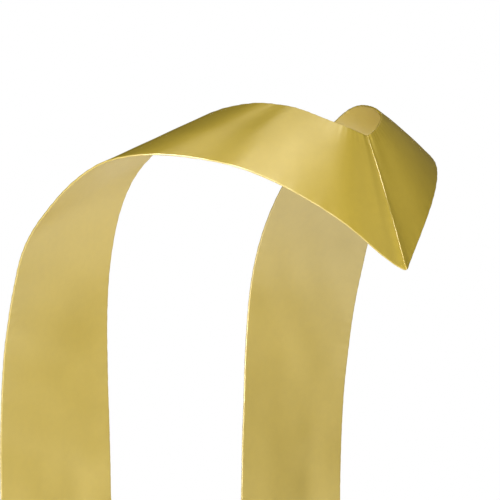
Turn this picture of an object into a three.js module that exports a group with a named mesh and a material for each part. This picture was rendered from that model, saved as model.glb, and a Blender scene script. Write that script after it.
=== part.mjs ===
// A plain satin graduation stole in the form it takes over the shoulders: two mirrored halves that
// meet in a mitred seam down the centre back, where they make a point, then run over the shoulders
// and hang down the front to a pointed end. Each half is one band of double cloth, turned and pressed.
// Millimetres. +Z is up, +X is the wearer's left, and the front faces -Y. The origin is the nape:
// the neck end of the centre back seam.
import * as THREE from "three";

// Sizes of the band
const BAND_WIDTH = 114; // over the shoulder and down the front
const HALF_LENGTH = 762; // along the middle of one half, from the back seam to its pointed end
const POINT_DEPTH = 46; // how far the end's point reaches below its two corners
const CLOTH_THICKNESS = 1.6; // face and backing together
const HEM_THICKNESS = 2.2; // where the turned-in edges lie between them
const HEM_WIDTH = 9; // how far the turned-in edges reach in from the fold
const FOLD_RADIUS = HEM_THICKNESS / 2; // the rounding of the folded edge
const FOLD_FLAT = 0.35; // the flat left at the very fold, as a share of the thickness there
const BACK_POINT_BLUNT = 1.8; // how much the rounding takes off the point at the centre back
const SEAM_GAP = 0.4; // between the two halves at the centre back

// Sizes of the form that the band takes when it is worn
const NECK_HALF_WIDTH = 80; // from the centre to a neck edge where it leaves the shoulder
const NECK_DEPTH = 200; // from the nape forward to the hanging fronts
const COLLAR_HEIGHT = 100; // the scale of the neck edge's rise and fall
const FRONT_DRIFT = 9; // how much nearer the centre the hanging edge ends than it starts

// Fineness of the mesh
const SEAM_STATIONS = 3; // beside the back seam, where the back point is rounded
const COLLAR_STATIONS = 50; // from there to the last row of the table below
const FRONT_STATIONS = 9; // down the straight front
const POINT_STATIONS = 3; // in the pointed end
const POINT_LEAD = 1.5; // where the rows start to spread into the end, in POINT_DEPTHs from it
const MIDDLE_COLUMNS = 7; // across the band, between its two hems

// The band's sections, from the centre back seam, over the shoulder and down to the chest.
// side, forward and height place the neck edge, as shares of NECK_HALF_WIDTH, NECK_DEPTH and
// COLLAR_HEIGHT. heading and fall point from there across the band: degrees round from the
// wearer's left towards the back, and degrees below level. width is a share of BAND_WIDTH, and
// crown is how far the middle stands out, as a share of that width.
const SECTIONS = [
  { side: 0.0, forward: 0.0, height: 0.0, heading: 90, fall: 68.6, width: 0.94, crown: 0.012 },
  { side: 0.066, forward: 0.006, height: 0.018, heading: 71, fall: 69.5, width: 0.841, crown: 0.01 },
  { side: 0.145, forward: 0.015, height: 0.042, heading: 46, fall: 65, width: 0.73, crown: 0.012 },
  { side: 0.28, forward: 0.04, height: 0.09, heading: 15, fall: 48.5, width: 0.645, crown: 0.02 },
  { side: 0.43, forward: 0.085, height: 0.15, heading: -2, fall: 32, width: 0.69, crown: 0.02 },
  { side: 0.55, forward: 0.16, height: 0.205, heading: -12, fall: 23, width: 0.82, crown: 0.012 },
  { side: 0.68, forward: 0.255, height: 0.23, heading: -16, fall: 20, width: 0.95, crown: 0.0 },
  { side: 0.83, forward: 0.38, height: 0.21, heading: -16, fall: 21, width: 1.0, crown: 0.0 },
  { side: 0.97, forward: 0.52, height: 0.1, heading: -13, fall: 23.5, width: 1.0, crown: 0.01 },
  { side: 1.05, forward: 0.66, height: -0.09, heading: -9, fall: 25, width: 1.0, crown: 0.02 },
  { side: 1.06, forward: 0.8, height: -0.33, heading: -3, fall: 24, width: 1.0, crown: 0.025 },
  { side: 1.03, forward: 0.9, height: -0.66, heading: 3, fall: 19, width: 1.0, crown: 0.025 },
  { side: 0.99, forward: 0.96, height: -1.05, heading: 5, fall: 13, width: 1.0, crown: 0.02 },
  { side: 0.96, forward: 0.985, height: -1.5, heading: 4, fall: 8, width: 1.0, crown: 0.015 },
  { side: 0.93, forward: 0.99, height: -2.0, heading: 2, fall: 4, width: 1.0, crown: 0.01 },
];

const SATIN = { color: 0xc3a94e, roughness: 0.38, metalness: 0.0 };

// The two edges and the crown of one section, in millimetres.
function sectionEdges({ side, forward, height, heading, fall, width, crown }) {
  const turn = THREE.MathUtils.degToRad(heading);
  const dip = THREE.MathUtils.degToRad(fall);
  const neck = new THREE.Vector3(
    side * NECK_HALF_WIDTH,
    -forward * NECK_DEPTH,
    height * COLLAR_HEIGHT,
  );
  const across = new THREE.Vector3(
    Math.cos(dip) * Math.cos(turn),
    Math.cos(dip) * Math.sin(turn),
    -Math.sin(dip),
  );
  const reach = width * BAND_WIDTH;
  const outer = neck.clone().addScaledVector(across, reach);
  return { neck, outer, crown: crown * reach };
}

// The natural cubic spline through values at knots, as a function of the knot's scale.
function spline(knots, values) {
  const last = knots.length - 1;
  const bend = new Array(last + 1).fill(0);
  const share = new Array(last + 1).fill(0);
  const pull = new Array(last + 1).fill(0);
  for (let i = 1; i < last; i++) {
    const before = knots[i] - knots[i - 1];
    const after = knots[i + 1] - knots[i];
    const turn = (values[i + 1] - values[i]) / after - (values[i] - values[i - 1]) / before;
    const pivot = 2 * (before + after) - before * share[i - 1];
    share[i] = after / pivot;
    pull[i] = (6 * turn - before * pull[i - 1]) / pivot;
  }
  for (let i = last - 1; i > 0; i--) bend[i] = pull[i] - share[i] * bend[i + 1];
  return (at) => {
    let i = 0;
    while (i < last - 1 && at > knots[i + 1]) i++;
    const step = knots[i + 1] - knots[i];
    const b = (at - knots[i]) / step;
    const a = 1 - b;
    const bow = ((a ** 3 - a) * bend[i] + (b ** 3 - b) * bend[i + 1]) * (step ** 2 / 6);
    return a * values[i] + b * values[i + 1] + bow;
  };
}

// A spline through points: one function of distance that gives a point.
function pathThrough(knots, points) {
  const [x, y, z] = ["x", "y", "z"].map((axis) => spline(knots, points.map((p) => p[axis])));
  return (at) => new THREE.Vector3(x(at), y(at), z(at));
}

// The length along a path, by short chords.
function pathLength(path, from, to) {
  const STEPS = 200;
  let length = 0;
  let here = path(from);
  for (let i = 1; i <= STEPS; i++) {
    const next = path(from + ((to - from) * i) / STEPS);
    length += here.distanceTo(next);
    here = next;
  }
  return length;
}

// The band as a surface. point(along, across) runs from the back seam down one half, and from the
// neck edge, 0, to the outer edge, 1. collarEnd and frontEnd are distances along it.
function bandSurface() {
  const sections = SECTIONS.map(sectionEdges);
  const middle = sections.map(({ neck, outer }) => neck.clone().lerp(outer, 0.5));
  const knots = [0];
  for (let i = 1; i < middle.length; i++) {
    knots.push(knots[i - 1] + middle[i].distanceTo(middle[i - 1]));
  }
  const collarEnd = knots.at(-1);
  const frontLength = HALF_LENGTH - pathLength(pathThrough(knots, middle), 0, collarEnd);

  // The front hangs straight from the last section, drifting a little towards the centre.
  const chest = sections.at(-1);
  const hang = new THREE.Vector3(-FRONT_DRIFT, 0, -frontLength).setLength(frontLength);
  for (const share of [0.5, 1]) {
    knots.push(collarEnd + frontLength * share);
    sections.push({
      neck: chest.neck.clone().addScaledVector(hang, share),
      outer: chest.outer.clone().addScaledVector(hang, share),
      crown: chest.crown,
    });
  }

  const neckPath = pathThrough(knots, sections.map((s) => s.neck));
  const outerPath = pathThrough(knots, sections.map((s) => s.outer));
  const crownAt = spline(knots, sections.map((s) => s.crown));
  const fullWidth = (along) => neckPath(along).distanceTo(outerPath(along));
  const blunting = (along) => Math.hypot(along, BACK_POINT_BLUNT) - along;
  const widthAt = (along) => fullWidth(along) - blunting(along);
  const flat = (along, across) => {
    const share = (across * widthAt(along)) / fullWidth(along);
    return neckPath(along).lerp(outerPath(along), share);
  };
  const normalOf = (surface, along, across) => {
    const STEP = 0.5;
    const SIDESTEP = 0.005;
    const from = Math.max(along - STEP, 0);
    const lengthwise = surface(along + STEP, across).sub(surface(from, across));
    const crosswise = surface(along, across + SIDESTEP).sub(surface(along, across - SIDESTEP));
    return lengthwise.cross(crosswise).normalize();
  };
  const point = (along, across) => {
    const bulge = 4 * across * (1 - across) * crownAt(along);
    return flat(along, across).addScaledVector(normalOf(flat, along, across), bulge);
  };
  return {
    point,
    normal: (along, across) => normalOf(point, along, across),
    widthAt,
    collarEnd,
    frontEnd: collarEnd + frontLength,
  };
}

// Where the mesh has its columns across a band of that width, and how thick the cloth is there:
// full at the hems, thinner between them, and rounded off at the two folded edges.
function columnsAcross(width) {
  const fold = FOLD_RADIUS / width;
  const hem = HEM_WIDTH / width;
  const nearEdge = [
    { across: 0, thickness: HEM_THICKNESS * FOLD_FLAT },
    { across: fold, thickness: HEM_THICKNESS },
    { across: hem, thickness: HEM_THICKNESS },
  ];
  const between = [];
  const inset = hem + 2 * fold;
  for (let i = 0; i < MIDDLE_COLUMNS; i++) {
    const across = inset + ((1 - 2 * inset) * i) / (MIDDLE_COLUMNS - 1);
    between.push({ across, thickness: CLOTH_THICKNESS });
  }
  const farEdge = nearEdge.map((c) => ({ ...c, across: 1 - c.across })).reverse();
  return [...nearEdge, ...between, ...farEdge];
}

// The mesh's rows down the band, each a function from a place across it to a distance along it.
// They run straight across as far as the pointed end, and then spread out into the point.
function rowsAlong({ collarEnd, frontEnd }) {
  const collarStart = SEAM_STATIONS * BACK_POINT_BLUNT;
  const pointStart = frontEnd - POINT_LEAD * POINT_DEPTH;
  const endAt = (across) => frontEnd - POINT_DEPTH * Math.abs(2 * across - 1);
  const rows = [];
  for (let i = 0; i < SEAM_STATIONS; i++) {
    rows.push({ along: () => i * BACK_POINT_BLUNT, folded: 1 });
  }
  for (let i = 0; i < COLLAR_STATIONS; i++) {
    const along = collarStart + ((collarEnd - collarStart) * i) / COLLAR_STATIONS;
    rows.push({ along: () => along, folded: 1 });
  }
  for (let i = 0; i < FRONT_STATIONS; i++) {
    const along = collarEnd + ((pointStart - collarEnd) * i) / FRONT_STATIONS;
    rows.push({ along: () => along, folded: 1 });
  }
  for (let i = 0; i < POINT_STATIONS; i++) {
    const share = i / POINT_STATIONS;
    rows.push({ along: (across) => pointStart + (endAt(across) - pointStart) * share, folded: 1 });
  }
  const beforeFold = (across) => endAt(across) - FOLD_RADIUS;
  rows.push({ along: beforeFold, folded: 1 });
  rows.push({ along: endAt, folded: FOLD_FLAT });
  return rows;
}

// One half as a closed mesh, on the wearer's left.
function halfBand() {
  const band = bandSurface();
  const rows = rowsAlong(band);
  const columnCount = columnsAcross(BAND_WIDTH).length;
  const face = [];
  const backing = [];
  const seamX = SEAM_GAP / 2;
  rows.forEach((row, i) => {
    for (const { across, thickness } of columnsAcross(band.widthAt(row.along(0.5)))) {
      const along = row.along(across);
      const point = band.point(along, across);
      const offset = band.normal(along, across);
      if (i === 0) {
        // The seam's end is cut square to the wearer's middle, so the halves meet face to face.
        const lean = offset.x;
        offset.setX(0).divideScalar(1 - lean ** 2);
      }
      offset.multiplyScalar((thickness * row.folded) / 2);
      const placed = (sign) => {
        const p = point.clone().addScaledVector(offset, sign);
        return p.setX(i === 0 ? seamX : Math.max(p.x, seamX));
      };
      face.push(placed(1));
      backing.push(placed(-1));
    }
  });

  const vertices = [...face, ...backing];
  const lower = face.length;
  const index = [];
  const quad = (a, b, c, d) => index.push(a, b, c, a, c, d);
  const at = (row, column) => row * columnCount + column;
  for (let r = 0; r + 1 < rows.length; r++) {
    for (let c = 0; c + 1 < columnCount; c++) {
      quad(at(r, c), at(r + 1, c), at(r + 1, c + 1), at(r, c + 1));
      quad(
        lower + at(r, c),
        lower + at(r, c + 1),
        lower + at(r + 1, c + 1),
        lower + at(r + 1, c),
      );
    }
    const edge = columnCount - 1;
    quad(at(r, 0), lower + at(r, 0), lower + at(r + 1, 0), at(r + 1, 0));
    quad(at(r, edge), at(r + 1, edge), lower + at(r + 1, edge), lower + at(r, edge));
  }
  const end = rows.length - 1;
  for (let c = 0; c + 1 < columnCount; c++) {
    quad(at(0, c), at(0, c + 1), lower + at(0, c + 1), lower + at(0, c));
    quad(at(end, c), lower + at(end, c), lower + at(end, c + 1), at(end, c + 1));
  }
  const geometry = new THREE.BufferGeometry().setFromPoints(vertices);
  geometry.setIndex(index);
  geometry.computeVertexNormals();
  return geometry;
}

// The stole: the left half, and the right half as its mirror image.
function buildStole() {
  const stole = new THREE.Group();
  const geometry = halfBand();
  for (const [name, mirror] of [["left_half", 1], ["right_half", -1]]) {
    const half = new THREE.Mesh(geometry, new THREE.MeshStandardMaterial(SATIN));
    half.name = name;
    half.scale.x = mirror;
    stole.add(half);
  }
  return stole;
}

export default buildStole();
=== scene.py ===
import math

import bpy
import numpy as np
from bpy.props import FloatProperty, FloatVectorProperty, PointerProperty
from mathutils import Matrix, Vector


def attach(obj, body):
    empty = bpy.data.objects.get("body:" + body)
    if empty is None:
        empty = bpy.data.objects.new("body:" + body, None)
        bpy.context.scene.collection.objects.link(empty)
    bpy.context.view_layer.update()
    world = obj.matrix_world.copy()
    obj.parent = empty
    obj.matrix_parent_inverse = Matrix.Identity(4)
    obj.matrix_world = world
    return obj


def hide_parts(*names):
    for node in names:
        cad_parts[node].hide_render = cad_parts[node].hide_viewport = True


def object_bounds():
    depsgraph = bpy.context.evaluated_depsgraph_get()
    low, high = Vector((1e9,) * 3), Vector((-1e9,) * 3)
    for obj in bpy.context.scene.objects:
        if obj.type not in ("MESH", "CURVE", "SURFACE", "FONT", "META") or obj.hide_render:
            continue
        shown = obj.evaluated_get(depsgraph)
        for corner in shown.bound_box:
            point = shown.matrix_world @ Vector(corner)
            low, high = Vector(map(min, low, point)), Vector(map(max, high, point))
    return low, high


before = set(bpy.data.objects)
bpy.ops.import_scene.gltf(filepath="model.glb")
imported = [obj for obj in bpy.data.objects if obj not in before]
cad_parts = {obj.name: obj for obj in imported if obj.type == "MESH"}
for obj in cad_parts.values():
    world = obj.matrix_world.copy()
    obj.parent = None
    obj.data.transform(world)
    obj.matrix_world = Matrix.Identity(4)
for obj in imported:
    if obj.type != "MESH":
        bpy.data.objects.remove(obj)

bl_info = {
    "name": "Satin stole",
    "version": (1, 0, 0),
    "blender": (4, 5, 0),
    "location": "3D View > Sidebar > Stole",
    "description": "A graduation stole in its worn form, with its satin, stage and camera",
    "category": "Object",
}

CAD_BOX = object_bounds()
BODY = "root"
TEXTURE_PLACES = "satin"

# The band's sections, from the centre back seam, over the top and down to the hanging front, as
# the solids have them. side, forward and height place the neck edge, as shares of
# neck_half_width, neck_depth and collar_height. heading and fall point from there across the
# band: degrees round from the left, as worn, towards the back, and degrees below level. width is
# a share of band_width, and crown is how far the middle stands out, as a share of that width.
SECTIONS = (
    dict(side=0.0, forward=0.0, height=0.0, heading=90, fall=68.6, width=0.94, crown=0.012),
    dict(side=0.066, forward=0.006, height=0.018, heading=71, fall=69.5, width=0.841, crown=0.01),
    dict(side=0.145, forward=0.015, height=0.042, heading=46, fall=65, width=0.73, crown=0.012),
    dict(side=0.28, forward=0.04, height=0.09, heading=15, fall=48.5, width=0.645, crown=0.02),
    dict(side=0.43, forward=0.085, height=0.15, heading=-2, fall=32, width=0.69, crown=0.02),
    dict(side=0.55, forward=0.16, height=0.205, heading=-12, fall=23, width=0.82, crown=0.012),
    dict(side=0.68, forward=0.255, height=0.23, heading=-16, fall=20, width=0.95, crown=0.0),
    dict(side=0.83, forward=0.38, height=0.21, heading=-16, fall=21, width=1.0, crown=0.0),
    dict(side=0.97, forward=0.52, height=0.1, heading=-13, fall=23.5, width=1.0, crown=0.01),
    dict(side=1.05, forward=0.66, height=-0.09, heading=-9, fall=25, width=1.0, crown=0.02),
    dict(side=1.06, forward=0.8, height=-0.33, heading=-3, fall=24, width=1.0, crown=0.025),
    dict(side=1.03, forward=0.9, height=-0.66, heading=3, fall=19, width=1.0, crown=0.025),
    dict(side=0.99, forward=0.96, height=-1.05, heading=5, fall=13, width=1.0, crown=0.02),
    dict(side=0.96, forward=0.985, height=-1.5, heading=4, fall=8, width=1.0, crown=0.015),
    dict(side=0.93, forward=0.99, height=-2.0, heading=2, fall=4, width=1.0, crown=0.01),
)

# Soft waves across the band over the collar. neck and outer are how far from the back seam a
# wave's crest lies at the neck edge and WAVE_SPAN across from it. reach is how far it fades to
# each side, and rise how far it stands out at those two places. All are metres, and the waves
# reach their full height WAVE_START from the back seam.
WAVE_SPAN = 0.1
WAVE_START = 0.012
COLLAR_WAVES = {
    "left": (
        dict(neck=0.009, outer=0.017, reach=0.015, rise=(0.0010, 0.0024)),
        dict(neck=0.041, outer=0.030, reach=0.018, rise=(0.0016, 0.0031)),
        dict(neck=0.082, outer=0.070, reach=0.025, rise=(-0.0026, 0.0)),
        dict(neck=0.124, outer=0.090, reach=0.012, rise=(0.0018, 0.0019)),
        dict(neck=0.136, outer=0.115, reach=0.012, rise=(0.0004, -0.0017)),
        dict(neck=0.155, outer=0.147, reach=0.015, rise=(0.0030, 0.0010)),
    ),
    "right": (
        dict(neck=0.010, outer=0.012, reach=0.008, rise=(0.0003, -0.0001)),
        dict(neck=0.017, outer=0.017, reach=0.009, rise=(0.0006, 0.0006)),
        dict(neck=0.053, outer=0.052, reach=0.0205, rise=(-0.0001, 0.0017)),
        dict(neck=0.120, outer=0.095, reach=0.014, rise=(0.0012, 0.0018)),
    ),
}

# The collar's waves stand out this way as much as out of the cloth, so they don't shift its
# outline in the main view. For the right half it is mirrored once more with the half.
WAVE_LEAN = (0.743, 0.669, 0.0)
WAVE_NORMAL_SHARE = 0.3

# Long soft folds down the hanging front, each from one place to another. A place is (metres from
# the back seam, share across from the neck edge), and reach and rise are as above. A fold fades
# over the FOLD_FADE share of its length at each end.
FOLD_FADE = 0.3
FRONT_FOLDS = {
    "left": (
        dict(start=(0.43, 0.3), stop=(0.76, 0.36), reach=0.014, rise=0.0016),
        dict(start=(0.46, 0.72), stop=(0.74, 0.66), reach=0.018, rise=-0.0014),
    ),
    "right": (
        dict(start=(0.45, 0.26), stop=(0.75, 0.3), reach=0.016, rise=-0.0013),
        dict(start=(0.42, 0.7), stop=(0.76, 0.74), reach=0.014, rise=0.0017),
    ),
}

# How each half meets the centre back seam. ridge is how far its edge stands up, in metres, at the
# neck and at the back point, and run is how far from the seam that fades.
SEAM_SIDES = {
    "left": dict(ridge=(0.0001, 0.00018), run=(0.0008, 0.0009)),
    "right": dict(ridge=(0.0001, 0.0004), run=(0.0010, 0.0045)),
}

# The cloth's own slight unevenness: the lengths of its waves in metres, and each half's seed.
UNEVEN_LENGTHS = (0.036, 0.047, 0.061, 0.079, 0.104)
UNEVEN_SEEDS = {"left": 11, "right": 23}

# The small waves that stitches draw. Beside the turned edges and beside the back seam they are
# two waves of these lengths, of which the second has SECOND_PUCKER of the height. They fade over
# PUCKER_FADE. All but the shares and the shift are metres.
EDGE_PUCKERS = (0.0083, 0.0131)
SEAM_PUCKERS = (0.0091, 0.0127)
SECOND_PUCKER = 0.6
EDGE_PUCKER_SHIFT = 1.7
PUCKER_FADE = 0.006

# Beside the back seam, in metres: how far each half's edge rolls, how far it is cut square to the
# middle plane, and how far the close rows reach.
SEAM_ROLL = 0.001
SEAM_SQUARE = 0.004
SEAM_CLOSE = 0.008

# Where the hem's extra thickness starts to fade and has gone, as shares of hem_width.
HEM_FADE = (1 / 6, 1.6)

# The pointed end: how blunt its tip is, as a share of half the band's width, how far before it
# the rows start to take its shape, in point depths, and the turns of its rounded fold in degrees.
POINT_SOFTNESS = 0.02
POINT_LEAD = 1.5
POINT_TURNS = (20, 40, 58, 72, 84)

# How many rows each stretch of a half has, how many columns its face, and how many each fold.
SEAM_ROWS = 17
COLLAR_ROWS = 225
FRONT_ROWS = 80
POINT_ROWS = 30
FACE_COLUMNS = 57
FOLD_COLUMNS = 6

# How the satin's colour goes from shade to satin: what the threads add, which is painted shade in
# the gaps between the threads and a lighter crown on each, and what the patches and the grains add
# between their least and their most, which is random tone.
THREAD_GAP_SHADE = 0.4
PATCH_TONE = (0.1, 0.4)
GRAIN_TONE = (-0.05, 0.3)

# How far the satin's roughness strays, and how deep the weave looks, in metres, and how strongly.
ROUGHNESS_SPREAD = 0.02
WEAVE_DEPTH = 0.00005
WEAVE_STRENGTH = 0.12

# The satin shader's values that are the same all over the cloth.
SATIN_SHADER = {
    "Metallic": 0.1,
    "IOR": 2.5,
    "Specular IOR Level": 1.0,
    "Anisotropic": 0.7,
}

# The Mix node has sockets for numbers, vectors and colours under the same labels, so its colour
# sockets are found by their places.
MIX_FIRST_COLOUR = 6
MIX_SECOND_COLOUR = 7
MIX_COLOUR_OUT = 2

# The studio's lamps. azimuth goes round from the front, as worn, towards the left, and elevation
# up, in degrees. power is watts. A lamp with no shine lights the cloth's colour but leaves no
# highlight on it. Each stands LAMP_DISTANCE from LAMP_TARGET and is LAMP_WIDTH across, in metres.
LAMPS = (
    dict(name="camera_softbox", azimuth=132, elevation=8, power=83, shine=True),
    dict(name="high_softbox", azimuth=132, elevation=40, power=11, shine=True),
    dict(name="top_softbox", azimuth=267, elevation=66, power=5.5, shine=True),
    dict(name="side_softbox", azimuth=42, elevation=40, power=3, shine=True),
    dict(name="back_softbox", azimuth=222, elevation=8, power=1, shine=True),
    dict(name="front_softbox", azimuth=-48, elevation=10, power=70, shine=False),
)
LAMP_TARGET = (0, -0.03, -0.04)
LAMP_DISTANCE = 2.4
LAMP_WIDTH = 1.4

# The floor: how many sides its rim has, the share of its radius where it starts to fade, and its
# least and most roughness.
FLOOR_SIDES = 96
FLOOR_FADE = 0.25
FLOOR_ROUGHNESS = (0.55, 0.65)

# The width of the camera's sensor, in millimetres.
SENSOR_WIDTH = 36


class StoleCut(bpy.types.PropertyGroup):
    """The sizes that the two halves are cut and sewn to"""

    band_width: FloatProperty(
        name="Band width", description="Across the band over the top and down the front",
        default=0.114, min=0.02, unit="LENGTH")
    half_length: FloatProperty(
        name="Half length", description="Along the middle of one half, from the seam to its point",
        default=0.762, min=0.5, unit="LENGTH")
    point_depth: FloatProperty(
        name="Point depth", description="How far an end's point reaches below its two corners",
        default=0.046, min=0.0, unit="LENGTH")
    cloth_thickness: FloatProperty(
        name="Cloth thickness", description="Face and backing together",
        default=0.0012, min=0.0005, unit="LENGTH")
    hem_thickness: FloatProperty(
        name="Hem thickness", description="At the folded edges, where the turned-in cloth lies",
        default=0.0014, min=0.0005, unit="LENGTH")
    hem_width: FloatProperty(
        name="Hem width", description="How far the turned-in cloth reaches in from the fold",
        default=0.009, min=0.001, unit="LENGTH")
    back_point_blunt: FloatProperty(
        name="Back point rounding", description="How much the rounding takes off the back point",
        default=0.0018, min=0.0, unit="LENGTH")
    seam_gap: FloatProperty(
        name="Seam gap", description="Between the two halves' edges in the seam",
        default=0.0001, min=0.0, unit="LENGTH")


class StoleForm(bpy.types.PropertyGroup):
    """The sizes of the form that the stole has when it is worn"""

    neck_half_width: FloatProperty(
        name="Neck half width", description="From the centre to a neck edge at the top",
        default=0.08, min=0.03, unit="LENGTH")
    neck_depth: FloatProperty(
        name="Neck depth", description="From the nape forward to the hanging fronts",
        default=0.2, min=0.05, unit="LENGTH")
    collar_height: FloatProperty(
        name="Collar height", description="The scale of the neck edge's rise and fall",
        default=0.1, min=0.01, unit="LENGTH")
    front_drift: FloatProperty(
        name="Front drift", description="How much nearer the centre a hanging edge ends",
        default=0.009, unit="LENGTH")
    unevenness: FloatProperty(
        name="Unevenness", description="How far the cloth strays from its smooth form",
        default=0.00006, min=0.0, unit="LENGTH")
    pucker: FloatProperty(
        name="Pucker", description="Height of the small waves that the stitches draw beside a seam",
        default=0.0001, min=0.0, unit="LENGTH")
    seam_groove: FloatProperty(
        name="Seam groove", description="How far each half's edge rolls down into the seam",
        default=0.0004, min=0.0, unit="LENGTH")


class StoleFinish(bpy.types.PropertyGroup):
    """The satin's colours and shine"""

    satin: FloatVectorProperty(
        name="Satin", description="The colour of the satin's long threads",
        subtype="COLOR", size=3, min=0, max=1, default=(0.57, 0.417, 0.044))
    # shade is both painted shade in the gaps between the threads and the random deeper tone of the
    # patches.
    shade: FloatVectorProperty(
        name="Shade", description="The colour between the threads and in the deeper patches",
        subtype="COLOR", size=3, min=0, max=1, default=(0.50, 0.36, 0.037))
    glint: FloatVectorProperty(
        name="Glint", description="The tint of the satin's reflections",
        subtype="COLOR", size=3, min=0, max=1, default=(0.90, 0.83, 0.68))
    roughness: FloatProperty(
        name="Roughness", description="How far the satin spreads its shine",
        default=0.4, min=0, max=1, subtype="FACTOR")
    thread_pitch: FloatProperty(
        name="Thread pitch", description="From one long thread to the next",
        default=0.00028, min=0.00005, unit="LENGTH", precision=5)


class StoleStage(bpy.types.PropertyGroup):
    """The floor, the background and the camera"""

    floor_drop: FloatProperty(
        name="Floor drop", description="From the hanging points down to the floor",
        default=0.08, min=0.0, unit="LENGTH")
    floor_radius: FloatProperty(
        name="Floor radius", description="Where the floor has faded into the background",
        default=3.2, min=0.5, unit="LENGTH")
    floor_colour: FloatVectorProperty(
        name="Floor", description="The floor's colour",
        subtype="COLOR", size=3, min=0, max=1, default=(0.86, 0.86, 0.85))
    ambient: FloatProperty(
        name="Ambient", description="How bright the room is around the object",
        default=0.01, min=0.0)
    azimuth: FloatProperty(
        name="Azimuth", description="Where the camera stands, round from the front as worn",
        default=math.radians(132), subtype="ANGLE")
    distance: FloatProperty(
        name="Distance", description="From the nape to the camera",
        default=2.5, min=0.5, unit="LENGTH")
    aim_side: FloatProperty(
        name="Aim sideways", description="From the nape to the picture's centre, to the right",
        default=-0.08605, unit="LENGTH")
    aim_rise: FloatProperty(
        name="Aim up", description="From the nape to the picture's centre, upwards",
        default=-0.08428, unit="LENGTH")
    lens: FloatProperty(
        name="Lens", description="Focal length in millimetres on a 36 mm wide sensor",
        default=243.9, min=10)


def smooth_step(low, high, values):
    """0 below low, 1 above high, and a smooth rise between them."""
    t = np.clip((values - low) / (high - low), 0, 1)
    return t * t * (3 - 2 * t)


def natural_spline(knots, values):
    """The natural cubic spline through rows of values, as a function of arrays of places."""
    gaps = np.diff(knots)
    slopes = np.diff(values, axis=0) / gaps[:, None]
    system = np.eye(len(knots))
    pull = np.zeros_like(values)
    for i in range(1, len(gaps)):
        system[i, i - 1:i + 2] = gaps[i - 1], 2 * (gaps[i - 1] + gaps[i]), gaps[i]
        pull[i] = 6 * (slopes[i] - slopes[i - 1])
    bend = np.linalg.solve(system, pull)

    def at(places):
        i = np.clip(np.searchsorted(knots, places, side="right") - 1, 0, len(gaps) - 1)
        step = gaps[i][..., None]
        b = (places - knots[i])[..., None] / step
        a = 1 - b
        bow = ((a**3 - a) * bend[i] + (b**3 - b) * bend[i + 1]) * step**2 / 6
        return a * values[i] + b * values[i + 1] + bow

    return at


def section_edges(cut, form):
    """Each section's neck point, outer point and crown, in metres."""
    column = {name: np.array([row[name] for row in SECTIONS], float) for name in SECTIONS[0]}
    turn, dip = np.radians(column["heading"]), np.radians(column["fall"])
    reach = column["width"] * cut.band_width
    neck = np.stack([
        column["side"] * form.neck_half_width,
        -column["forward"] * form.neck_depth,
        column["height"] * form.collar_height,
    ], axis=1)
    across = np.stack([np.cos(dip) * np.cos(turn), np.cos(dip) * np.sin(turn), -np.sin(dip)], axis=1)
    return neck, neck + across * reach[:, None], column["crown"] * reach


class Band:
    """The left half's middle surface. A place on it is metres along and a share across it."""

    CHORDS = 200
    STEP_ALONG = 0.0005
    STEP_ACROSS = 0.005

    def __init__(self, cut, form):
        neck, outer, crown = section_edges(cut, form)
        middle = (neck + outer) / 2
        knots = np.append(0, np.cumsum(np.linalg.norm(np.diff(middle, axis=0), axis=1)))
        self.collar_end = knots[-1]
        stations = np.linspace(0, knots[-1], self.CHORDS + 1)
        chords = np.diff(natural_spline(knots, middle)(stations), axis=0)
        front = cut.half_length - np.linalg.norm(chords, axis=1).sum()
        self.front_end = self.collar_end + front
        hang = np.array([-form.front_drift, 0, -front])
        hang *= front / np.linalg.norm(hang)
        for share in (0.5, 1):
            knots = np.append(knots, self.collar_end + front * share)
            neck = np.vstack([neck, neck[len(SECTIONS) - 1] + hang * share])
            outer = np.vstack([outer, outer[len(SECTIONS) - 1] + hang * share])
            crown = np.append(crown, crown[-1])
        self.edges = natural_spline(knots, np.hstack([neck, outer, crown[:, None]]))
        self.blunt = cut.back_point_blunt

    def width(self, along):
        """The band's width at that distance, less what the back point's rounding takes."""
        row = self.edges(along)
        full = np.linalg.norm(row[..., 3:6] - row[..., :3], axis=-1)
        return full - (np.hypot(along, self.blunt) - along)

    def flat(self, along, share):
        """The point there with no crown."""
        row = self.edges(along)
        neck, outer = row[..., :3], row[..., 3:6]
        full = np.linalg.norm(outer - neck, axis=-1)
        reach = share * self.width(along) / full
        return neck + (outer - neck) * reach[..., None]

    def normal(self, surface, along, share):
        """The direction out of the cloth's face, for flat or for point."""
        before = np.maximum(along - self.STEP_ALONG, 0)
        lengthwise = surface(along + self.STEP_ALONG, share) - surface(before, share)
        beyond, short = share + self.STEP_ACROSS, share - self.STEP_ACROSS
        crosswise = surface(along, beyond) - surface(along, short)
        out = np.cross(lengthwise, crosswise)
        return out / np.linalg.norm(out, axis=-1, keepdims=True)

    def point(self, along, share):
        """The point there, crown and all."""
        bulge = 4 * share * (1 - share) * self.edges(along)[..., 6]
        return self.flat(along, share) + self.normal(self.flat, along, share) * bulge[..., None]


def collar_wave_relief(side, along, across):
    """How far the collar's waves lift the cloth at each place."""
    lift = np.zeros_like(along)
    share = across / WAVE_SPAN
    for wave in COLLAR_WAVES[side]:
        crest = wave["neck"] + (wave["outer"] - wave["neck"]) * share
        rise = wave["rise"][0] + (wave["rise"][1] - wave["rise"][0]) * share
        lift += rise * np.exp(-(((along - crest) / wave["reach"]) ** 2))
    return lift * smooth_step(0, WAVE_START, along)


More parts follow.
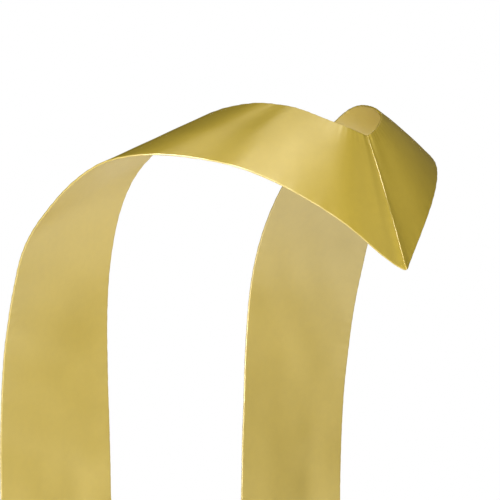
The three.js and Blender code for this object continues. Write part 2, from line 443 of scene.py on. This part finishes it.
def front_fold_relief(cut, side, along, share, width):
    """How far the hanging front's folds lift the cloth at each place."""
    lift = np.zeros_like(along)
    for fold in FRONT_FOLDS[side]:
        start = np.array(fold["start"])
        run = (np.array(fold["stop"]) - start) * (1, cut.band_width)
        x = along - start[0]
        y = (share - start[1]) * width
        t = (x * run[0] + y * run[1]) / (run @ run)
        off = (x * run[1] - y * run[0]) / math.sqrt(run @ run)
        fade = smooth_step(0, FOLD_FADE, t) * (1 - smooth_step(1 - FOLD_FADE, 1, t))
        lift += fold["rise"] * fade * np.exp(-((off / fold["reach"]) ** 2))
    return lift


def uneven_relief(form, side, along, across):
    """The cloth's own slight unevenness, as a few long waves in fixed directions."""
    draw = np.random.default_rng(UNEVEN_SEEDS[side])
    lift = np.zeros_like(along)
    for wave_length in UNEVEN_LENGTHS:
        turn, phase = draw.uniform(0, math.pi), draw.uniform(0, 2 * math.pi)
        travel = along * math.cos(turn) + across * math.sin(turn)
        lift += form.unevenness * np.sin(2 * math.pi * travel / wave_length + phase)
    return lift


def stitch_waves(travel, lengths, shift):
    """Two waves together, as stitches draw them, at each distance travelled."""
    first = np.sin(2 * math.pi * travel / lengths[0])
    second = np.sin(2 * math.pi * travel / lengths[1] + shift)
    return first + SECOND_PUCKER * second


def pucker_relief(form, along, across, to_edge):
    """Small waves beside the turned edges and the back seam, where the stitches draw the cloth."""
    lift = stitch_waves(along, EDGE_PUCKERS, EDGE_PUCKER_SHIFT) * np.exp(-to_edge / PUCKER_FADE)
    lift += stitch_waves(across, SEAM_PUCKERS, 0) * np.exp(-along / PUCKER_FADE)
    return form.pucker * lift


def seam_relief(side, along, share):
    """The ridge that the seam's turned-in cloth makes under each half's edge."""
    sides = SEAM_SIDES[side]
    ridge = sides["ridge"][0] + (sides["ridge"][1] - sides["ridge"][0]) * share**2
    run = sides["run"][0] + (sides["run"][1] - sides["run"][0]) * share**2
    return ridge * np.exp(-along / run)


def ring_columns():
    """The closed ring round a band's section: face, outer fold, backing, neck fold.

    Each column has a share of the span between the folds' centres, an offset from there in fold
    radii, and a height in half thicknesses. The face's columns are closer towards the folds.
    """
    t = np.linspace(0, 1, FACE_COLUMNS)
    span = 0.5 * t + 0.5 * (0.5 - 0.5 * np.cos(math.pi * t))
    turns = np.linspace(math.pi / 2, -math.pi / 2, FOLD_COLUMNS + 2)[1:-1]
    ones, zeros = np.ones(FOLD_COLUMNS), np.zeros(FOLD_COLUMNS)
    flat = np.zeros(FACE_COLUMNS)
    return (
        np.concatenate([span, ones, span[::-1], zeros]),
        np.concatenate([flat, np.cos(turns), flat, -np.cos(turns)]),
        np.concatenate([flat + 1, np.sin(turns), flat - 1, np.sin(turns[::-1])]),
    )


def band_rows(band, cut):
    """Each row down a half: its place along, what of the point's shape it has, and its thickness.

    Rows are close beside the seam, even over the collar and the front, and follow the pointed
    end, whose fold is rounded.
    """
    seam = SEAM_CLOSE * np.linspace(0, 1, SEAM_ROWS) ** 2
    collar = np.linspace(SEAM_CLOSE, band.collar_end, COLLAR_ROWS)[1:]
    point_start = band.front_end - POINT_LEAD * cut.point_depth
    front = np.linspace(band.collar_end, point_start, FRONT_ROWS)[1:]
    rows = [(along, 0.0, 0.0, 1.0) for along in (*seam, *collar, *front)]
    radius = cut.hem_thickness / 2
    for share in np.linspace(0, 1, POINT_ROWS)[1:]:
        rows.append((point_start, share, -radius, 1.0))
    for turn in np.radians(POINT_TURNS):
        rows.append((point_start, 1.0, radius * (math.sin(turn) - 1), math.cos(turn)))
    return rows, point_start


def half_surface(cut, form, side):
    """One half's points in rows, on its own side, and where each lies on the flat cloth."""
    band = Band(cut, form)
    rows, point_start = band_rows(band, cut)
    span, offset, height = ring_columns()
    fold = cut.hem_thickness / 2
    row_along, point_share, shift, thick = (np.array(column)[:, None] for column in zip(*rows))
    width = band.width(row_along[:, 0])[:, None]
    across = fold + span * (width - 2 * fold) + offset * fold
    share = across / width
    tip = np.sqrt((2 * share - 1) ** 2 + POINT_SOFTNESS**2)
    end = band.front_end - cut.point_depth * tip
    along = row_along + (end + shift - point_start) * point_share
    along = np.broadcast_to(along, share.shape)

    to_edge = np.minimum(across, width - across)
    hem = 1 - smooth_step(cut.hem_width * HEM_FADE[0], cut.hem_width * HEM_FADE[1], to_edge)
    sheet = cut.cloth_thickness + (cut.hem_thickness - cut.cloth_thickness) * hem
    roll = np.clip(1 - along / SEAM_ROLL, 0, 1)
    groove = form.seam_groove * (1 - np.sqrt(1 - roll**2))
    rise = height * thick * (sheet / 2 - groove)
    rise = rise + (
        front_fold_relief(cut, side, along, share, width)
        + uneven_relief(form, side, along, across)
        + pucker_relief(form, along, across, to_edge)
        + seam_relief(side, along, share)
    )
    # Beside the seam the cloth is cut square to the middle plane, so the halves meet face to face.
    out = band.normal(band.point, along, share)
    square = out * (0, 1, 1) / (1 - out[..., :1] ** 2)
    near = (1 - smooth_step(0, SEAM_SQUARE, along))[..., None]
    points = band.point(along, share) + (out * (1 - near) + square * near) * rise[..., None]
    mirror = (1 if side == "left" else -1, 1, 1)
    lean = np.array(WAVE_LEAN) * mirror + out * WAVE_NORMAL_SHARE
    lean /= np.linalg.norm(lean, axis=-1, keepdims=True)
    points += lean * collar_wave_relief(side, along, across)[..., None]
    points[..., 0] = np.maximum(points[..., 0], cut.seam_gap / 2)
    points[0, :, 0] = cut.seam_gap / 2
    # The backing lies beside the face on the flat cloth.
    return points * mirror, np.stack([across + width * (height < 0), along], -1)


def ring_faces(row_count, count):
    """The faces of a closed band with that many rings of that many points, outward on the left."""
    faces = []
    for r in range(row_count - 1):
        for c in range(count):
            d = (c + 1) % count
            faces.append((r * count + c, (r + 1) * count + c, (r + 1) * count + d, r * count + d))
    last_face = FACE_COLUMNS - 1
    last_backing = count - FOLD_COLUMNS - 1
    caps = [(c, c + 1, last_backing - c - 1, last_backing - c) for c in range(last_face)]
    caps.append(tuple(range(last_face, last_face + FOLD_COLUMNS + 2)))
    caps.append((*range(last_backing, count), 0))
    faces.extend(caps)
    end = (row_count - 1) * count
    faces.extend(tuple(end + c for c in cap[::-1]) for cap in caps)
    return faces


def half_mesh(context, side):
    """The vertices, faces and texture places of one half, on its own side."""
    points, places = half_surface(context.scene.stole_cut, context.scene.stole_form, side)
    faces = ring_faces(*points.shape[:2])
    if side == "right":
        faces = [face[::-1] for face in faces]
    return points.reshape(-1, 3), faces, places


def add_half(context, side):
    """Adds one half of the stole in place of its solid."""
    points, faces, places = half_mesh(context, side)
    mesh = bpy.data.meshes.new(f"{side}_band")
    mesh.from_pydata(points.tolist(), [], faces)
    mesh.validate()
    mesh.polygons.foreach_set("use_smooth", [True] * len(mesh.polygons))
    layer = mesh.uv_layers.new(name=TEXTURE_PLACES)
    corners = np.zeros(len(mesh.loops), np.int32)
    mesh.loops.foreach_get("vertex_index", corners)
    layer.uv.foreach_set("vector", places.reshape(-1, 2)[corners].astype(np.float32).ravel())
    mesh.materials.append(satin_material(context.scene.stole_finish))
    piece = bpy.data.objects.new(f"{side}_band", mesh)
    context.scene.collection.objects.link(piece)
    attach(piece, BODY)
    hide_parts(f"{side}_half")


def place(nodes, kind, at, **values):
    """Adds a shader node at a spot in the editor, and sets what values name on it."""
    node = nodes.new(kind)
    node.location = at
    for name, value in values.items():
        setattr(node, name, value)
    return node


def maths(tree, operation, at, first, second=None):
    """Adds a Math node whose inputs are sockets or numbers, and gives its output."""
    node = place(tree.nodes, "ShaderNodeMath", at, operation=operation)
    for socket, value in zip(node.inputs, (first, second)):
        if isinstance(value, bpy.types.NodeSocket):
            tree.links.new(value, socket)
        elif value is not None:
            socket.default_value = value
    return node.outputs[0]


def shader_group(name, inputs, outputs):
    """A new shader node group with those number inputs and outputs, and its two end nodes."""
    tree = bpy.data.node_groups.new(name, "ShaderNodeTree")
    for label, value in inputs.items():
        socket = tree.interface.new_socket(name=label, in_out="INPUT", socket_type="NodeSocketFloat")
        socket.default_value = value
    for label in outputs:
        tree.interface.new_socket(name=label, in_out="OUTPUT", socket_type="NodeSocketFloat")
    start = place(tree.nodes, "NodeGroupInput", (-900, 0))
    end = place(tree.nodes, "NodeGroupOutput", (700, 0))
    return tree, start.outputs, end.inputs


def weave_group():
    """The satin weave: long threads down the band, each tied down under a pick here and there."""
    name = "Satin weave"
    if name in bpy.data.node_groups:
        return bpy.data.node_groups[name]
    tree, given, made = shader_group(
        name, {"Thread pitch": 0.00028, "Float length": 0.0016}, ("Height", "Thread"))
    links = tree.links
    uv = place(tree.nodes, "ShaderNodeUVMap", (-900, 300), uv_map=TEXTURE_PLACES)
    split = place(tree.nodes, "ShaderNodeSeparateXYZ", (-720, 300))
    links.new(uv.outputs[0], split.inputs[0])
    threads = maths(tree, "DIVIDE", (-540, 300), split.outputs["X"], given["Thread pitch"])
    number = maths(tree, "FLOOR", (-360, 380), threads)
    inside = maths(tree, "FRACT", (-360, 220), threads)
    hump = maths(tree, "SINE", (0, 260), maths(tree, "MULTIPLY", (-180, 220), inside, math.pi))
    picks = maths(tree, "DIVIDE", (-540, 60), split.outputs["Y"], given["Float length"])
    stagger = maths(tree, "MULTIPLY", (-360, 60), number, 0.4)
    phase = maths(tree, "FRACT", (0, 60), maths(tree, "ADD", (-180, 60), picks, stagger))
    dip = maths(tree, "PINGPONG", (180, 60), phase, 0.5)
    tied = maths(tree, "MINIMUM", (360, 60), maths(tree, "MULTIPLY", (270, -40), dip, 6.0), 1.0)
    links.new(maths(tree, "MULTIPLY", (520, 160), hump, tied), made["Height"])
    # The Thread mask is used in the satin's colour to paint shade between the threads.
    links.new(hump, made["Thread"])
    return tree


def mottling_group():
    """Slow and quick unevenness of a surface, round 0.5, as two outputs."""
    name = "Soft mottling"
    if name in bpy.data.node_groups:
        return bpy.data.node_groups[name]
    tree, given, made = shader_group(
        name, {"Patches per metre": 18, "Grains per metre": 900}, ("Slow", "Quick"))
    where = place(tree.nodes, "ShaderNodeTexCoord", (-900, 300))
    noises = (("Slow", "Patches per metre", 2, 200), ("Quick", "Grains per metre", 3, -100))
    for label, scale, detail, y in noises:
        noise = place(tree.nodes, "ShaderNodeTexNoise", (-500, y))
        noise.inputs["Detail"].default_value = detail
        tree.links.new(where.outputs["Object"], noise.inputs["Vector"])
        tree.links.new(given[scale], noise.inputs["Scale"])
        tree.links.new(noise.outputs["Fac"], made[label])
    return tree


def placed_group(tree, group, at, **values):
    """Places a node group in a material with its own values."""
    node = place(tree.nodes, "ShaderNodeGroup", at, node_tree=group)
    for label, value in values.items():
        node.inputs[label.replace("_", " ")].default_value = value
    return node


def new_material(name):
    """A new material with only its Principled shader, and its node tree."""
    material = bpy.data.materials.new(name)
    material.use_nodes = True
    tree = material.node_tree
    tree.nodes.clear()
    shader = place(tree.nodes, "ShaderNodeBsdfPrincipled", (400, 0))
    out = place(tree.nodes, "ShaderNodeOutputMaterial", (720, 0))
    tree.links.new(shader.outputs[0], out.inputs["Surface"])
    return material, tree, shader


def blend_colours(tree, at, share, first, second):
    """A colour from first to second by a share, which is a socket."""
    mix = place(tree.nodes, "ShaderNodeMix", at, data_type="RGBA")
    tree.links.new(share, mix.inputs["Factor"])
    mix.inputs[MIX_FIRST_COLOUR].default_value = (*first, 1)
    mix.inputs[MIX_SECOND_COLOUR].default_value = (*second, 1)
    return mix.outputs[MIX_COLOUR_OUT]


def spread(tree, at, value, low, high):
    """Stretches a value that stays near 0.5 to run from low to high."""
    node = place(tree.nodes, "ShaderNodeMapRange", at)
    tree.links.new(value, node.inputs["Value"])
    for label, number in (("From Min", 0.3), ("From Max", 0.7), ("To Min", low), ("To Max", high)):
        node.inputs[label].default_value = number
    return node.outputs["Result"]


def satin_material(finish):
    """Gold satin: long threads down the band that spread the shine across it."""
    name = "satin_cloth"
    if name in bpy.data.materials:
        return bpy.data.materials[name]
    material, tree, shader = new_material(name)
    weave = placed_group(tree, weave_group(), (-700, 200), Thread_pitch=finish.thread_pitch)
    mottle = placed_group(
        tree, mottling_group(), (-700, -100), Patches_per_metre=22.0, Grains_per_metre=190.0)
    # The threads' tone paints shade into the gaps between the threads and lightens their crowns.
    threads = maths(tree, "MULTIPLY", (-560, 320), weave.outputs["Thread"], THREAD_GAP_SHADE)
    patches = spread(tree, (-560, 140), mottle.outputs["Slow"], *PATCH_TONE)
    grains = spread(tree, (-560, -40), mottle.outputs["Quick"], *GRAIN_TONE)
    mottled = maths(tree, "ADD", (-420, 100), patches, grains)
    thread_shade_and_tone = maths(tree, "ADD", (-300, 200), threads, mottled)
    colour = blend_colours(tree, (-200, 200), thread_shade_and_tone, finish.shade, finish.satin)
    tree.links.new(colour, shader.inputs["Base Color"])
    smoothest, roughest = finish.roughness - ROUGHNESS_SPREAD, finish.roughness + ROUGHNESS_SPREAD
    rough = spread(tree, (-200, -60), mottle.outputs["Slow"], smoothest, roughest)
    tree.links.new(rough, shader.inputs["Roughness"])
    bump = place(tree.nodes, "ShaderNodeBump", (160, -260))
    bump.inputs["Strength"].default_value = WEAVE_STRENGTH
    bump.inputs["Distance"].default_value = WEAVE_DEPTH
    tree.links.new(weave.outputs["Height"], bump.inputs["Height"])
    tree.links.new(bump.outputs[0], shader.inputs["Normal"])
    tangent = place(
        tree.nodes, "ShaderNodeTangent", (160, -420), direction_type="UV_MAP", uv_map=TEXTURE_PLACES)
    tree.links.new(tangent.outputs[0], shader.inputs["Tangent"])
    for label, value in SATIN_SHADER.items():
        shader.inputs[label].default_value = value
    shader.inputs["Specular Tint"].default_value = (*finish.glint, 1)
    return material


def floor_material(stage):
    """A pale painted floor that fades into the background with distance."""
    material, tree, shader = new_material("studio_floor")
    shader.inputs["Base Color"].default_value = (*stage.floor_colour, 1)
    mottle = placed_group(
        tree, mottling_group(), (-700, -100), Patches_per_metre=3.0, Grains_per_metre=60.0)
    rough = spread(tree, (-200, -60), mottle.outputs["Slow"], *FLOOR_ROUGHNESS)
    tree.links.new(rough, shader.inputs["Roughness"])
    where = place(tree.nodes, "ShaderNodeTexCoord", (-700, -400))
    length = place(tree.nodes, "ShaderNodeVectorMath", (-500, -400), operation="LENGTH")
    tree.links.new(where.outputs["Object"], length.inputs[0])
    fade = place(tree.nodes, "ShaderNodeMapRange", (-300, -400), interpolation_type="SMOOTHSTEP")
    tree.links.new(length.outputs["Value"], fade.inputs["Value"])
    fade.inputs["From Min"].default_value = stage.floor_radius * FLOOR_FADE
    fade.inputs["From Max"].default_value = stage.floor_radius
    fade.inputs["To Min"].default_value = 1
    fade.inputs["To Max"].default_value = 0
    tree.links.new(fade.outputs["Result"], shader.inputs["Alpha"])
    return material


def direction(azimuth, elevation):
    """The way from the object to a camera or lamp that stands there."""
    level = math.cos(elevation)
    return Vector((math.sin(azimuth) * level, -math.cos(azimuth) * level, math.sin(elevation)))


def look_along(obj, way):
    """Turns a camera or lamp to look that way, upright."""
    obj.rotation_mode = "QUATERNION"
    obj.rotation_quaternion = way.to_track_quat("-Z", "Y")


def add_floor(context, stage):
    """A round floor below the hanging points."""
    turns = [2 * math.pi * i / FLOOR_SIDES for i in range(FLOOR_SIDES)]
    rim = [(stage.floor_radius * math.cos(t), stage.floor_radius * math.sin(t), 0) for t in turns]
    mesh = bpy.data.meshes.new("studio_floor")
    mesh.from_pydata(rim, [], [tuple(range(FLOOR_SIDES))])
    mesh.materials.append(floor_material(stage))
    floor = bpy.data.objects.new("studio_floor", mesh)
    low, high = CAD_BOX
    floor.location = ((low.x + high.x) / 2, (low.y + high.y) / 2, low.z - stage.floor_drop)
    context.scene.collection.objects.link(floor)


def add_lamps(context):
    """The studio's soft lamps, aimed at the collar."""
    for row in LAMPS:
        light = bpy.data.lights.new(row["name"], "AREA")
        light.shape = "DISK"
        light.size = LAMP_WIDTH
        light.energy = row["power"]
        lamp = bpy.data.objects.new(row["name"], light)
        way = direction(math.radians(row["azimuth"]), math.radians(row["elevation"]))
        lamp.location = Vector(LAMP_TARGET) + way * LAMP_DISTANCE
        look_along(lamp, -way)
        lamp.visible_camera = False
        lamp.visible_glossy = row["shine"]
        context.scene.collection.objects.link(lamp)


def add_world(context, stage):
    """A white background, with a dimmer room in the light and the reflections."""
    world = bpy.data.worlds.new("studio")
    context.scene.world = world
    world.use_nodes = True
    tree = world.node_tree
    tree.nodes.clear()
    rays = place(tree.nodes, "ShaderNodeLightPath", (-400, 200))
    room = place(tree.nodes, "ShaderNodeBackground", (-400, -100))
    room.inputs["Color"].default_value = (1, 1, 1, 1)
    room.inputs["Strength"].default_value = stage.ambient
    white = place(tree.nodes, "ShaderNodeBackground", (-400, -250))
    white.inputs["Color"].default_value = (1, 1, 1, 1)
    mix = place(tree.nodes, "ShaderNodeMixShader", (-100, 0))
    tree.links.new(rays.outputs["Is Camera Ray"], mix.inputs[0])
    tree.links.new(room.outputs[0], mix.inputs[1])
    tree.links.new(white.outputs[0], mix.inputs[2])
    out = place(tree.nodes, "ShaderNodeOutputWorld", (150, 0))
    tree.links.new(mix.outputs[0], out.inputs["Surface"])


def add_camera(context, stage):
    """The camera, behind the stole and towards its left as worn, level with the nape."""
    data = bpy.data.cameras.new("camera")
    data.sensor_width = SENSOR_WIDTH
    data.lens = stage.lens
    data.clip_end = 50
    camera = bpy.data.objects.new("camera", data)
    back = direction(stage.azimuth, 0)
    right = Vector((math.cos(stage.azimuth), math.sin(stage.azimuth), 0))
    aim = right * stage.aim_side + Vector((0, 0, stage.aim_rise))
    camera.location = back * stage.distance
    look_along(camera, aim - camera.location)
    context.scene.collection.objects.link(camera)
    context.scene.camera = camera


class STOLE_OT_halves(bpy.types.Operator):
    """Build both satin halves in place of their solids"""

    bl_idname = "stole.halves"
    bl_label = "Build the halves"
    bl_options = {"REGISTER", "UNDO"}

    def execute(self, context):
        for side in ("left", "right"):
            add_half(context, side)
        return {"FINISHED"}


class STOLE_OT_stage(bpy.types.Operator):
    """Build the floor, the lamps, the background and the camera"""

    bl_idname = "stole.stage"
    bl_label = "Build the stage"
    bl_options = {"REGISTER", "UNDO"}

    def execute(self, context):
        stage = context.scene.stole_stage
        add_floor(context, stage)
        add_lamps(context)
        add_world(context, stage)
        add_camera(context, stage)
        context.scene.view_settings.view_transform = "Standard"
        return {"FINISHED"}


class STOLE_PT_panel(bpy.types.Panel):
    """Lists the stole's sizes, colours and steps"""

    bl_label = "Satin stole"
    bl_idname = "STOLE_PT_panel"
    bl_space_type = "VIEW_3D"
    bl_region_type = "UI"
    bl_category = "Stole"

    def draw(self, context):
        scene = context.scene
        for group in (scene.stole_cut, scene.stole_form, scene.stole_finish, scene.stole_stage):
            box = self.layout.box()
            for name in group.__annotations__:
                box.prop(group, name)
        self.layout.operator(STOLE_OT_halves.bl_idname)
        self.layout.operator(STOLE_OT_stage.bl_idname)


CLASSES = (
    StoleCut, StoleForm, StoleFinish, StoleStage, STOLE_OT_halves, STOLE_OT_stage, STOLE_PT_panel)


def register():
    for cls in CLASSES:
        bpy.utils.register_class(cls)
    bpy.types.Scene.stole_cut = PointerProperty(type=StoleCut)
    bpy.types.Scene.stole_form = PointerProperty(type=StoleForm)
    bpy.types.Scene.stole_finish = PointerProperty(type=StoleFinish)
    bpy.types.Scene.stole_stage = PointerProperty(type=StoleStage)


def unregister():
    for name in ("stole_cut", "stole_form", "stole_finish", "stole_stage"):
        delattr(bpy.types.Scene, name)
    for cls in reversed(CLASSES):
        bpy.utils.unregister_class(cls)


def main():
    register()
    bpy.ops.stole.halves()
    bpy.ops.stole.stage()


if __name__ == "__main__":
    main()
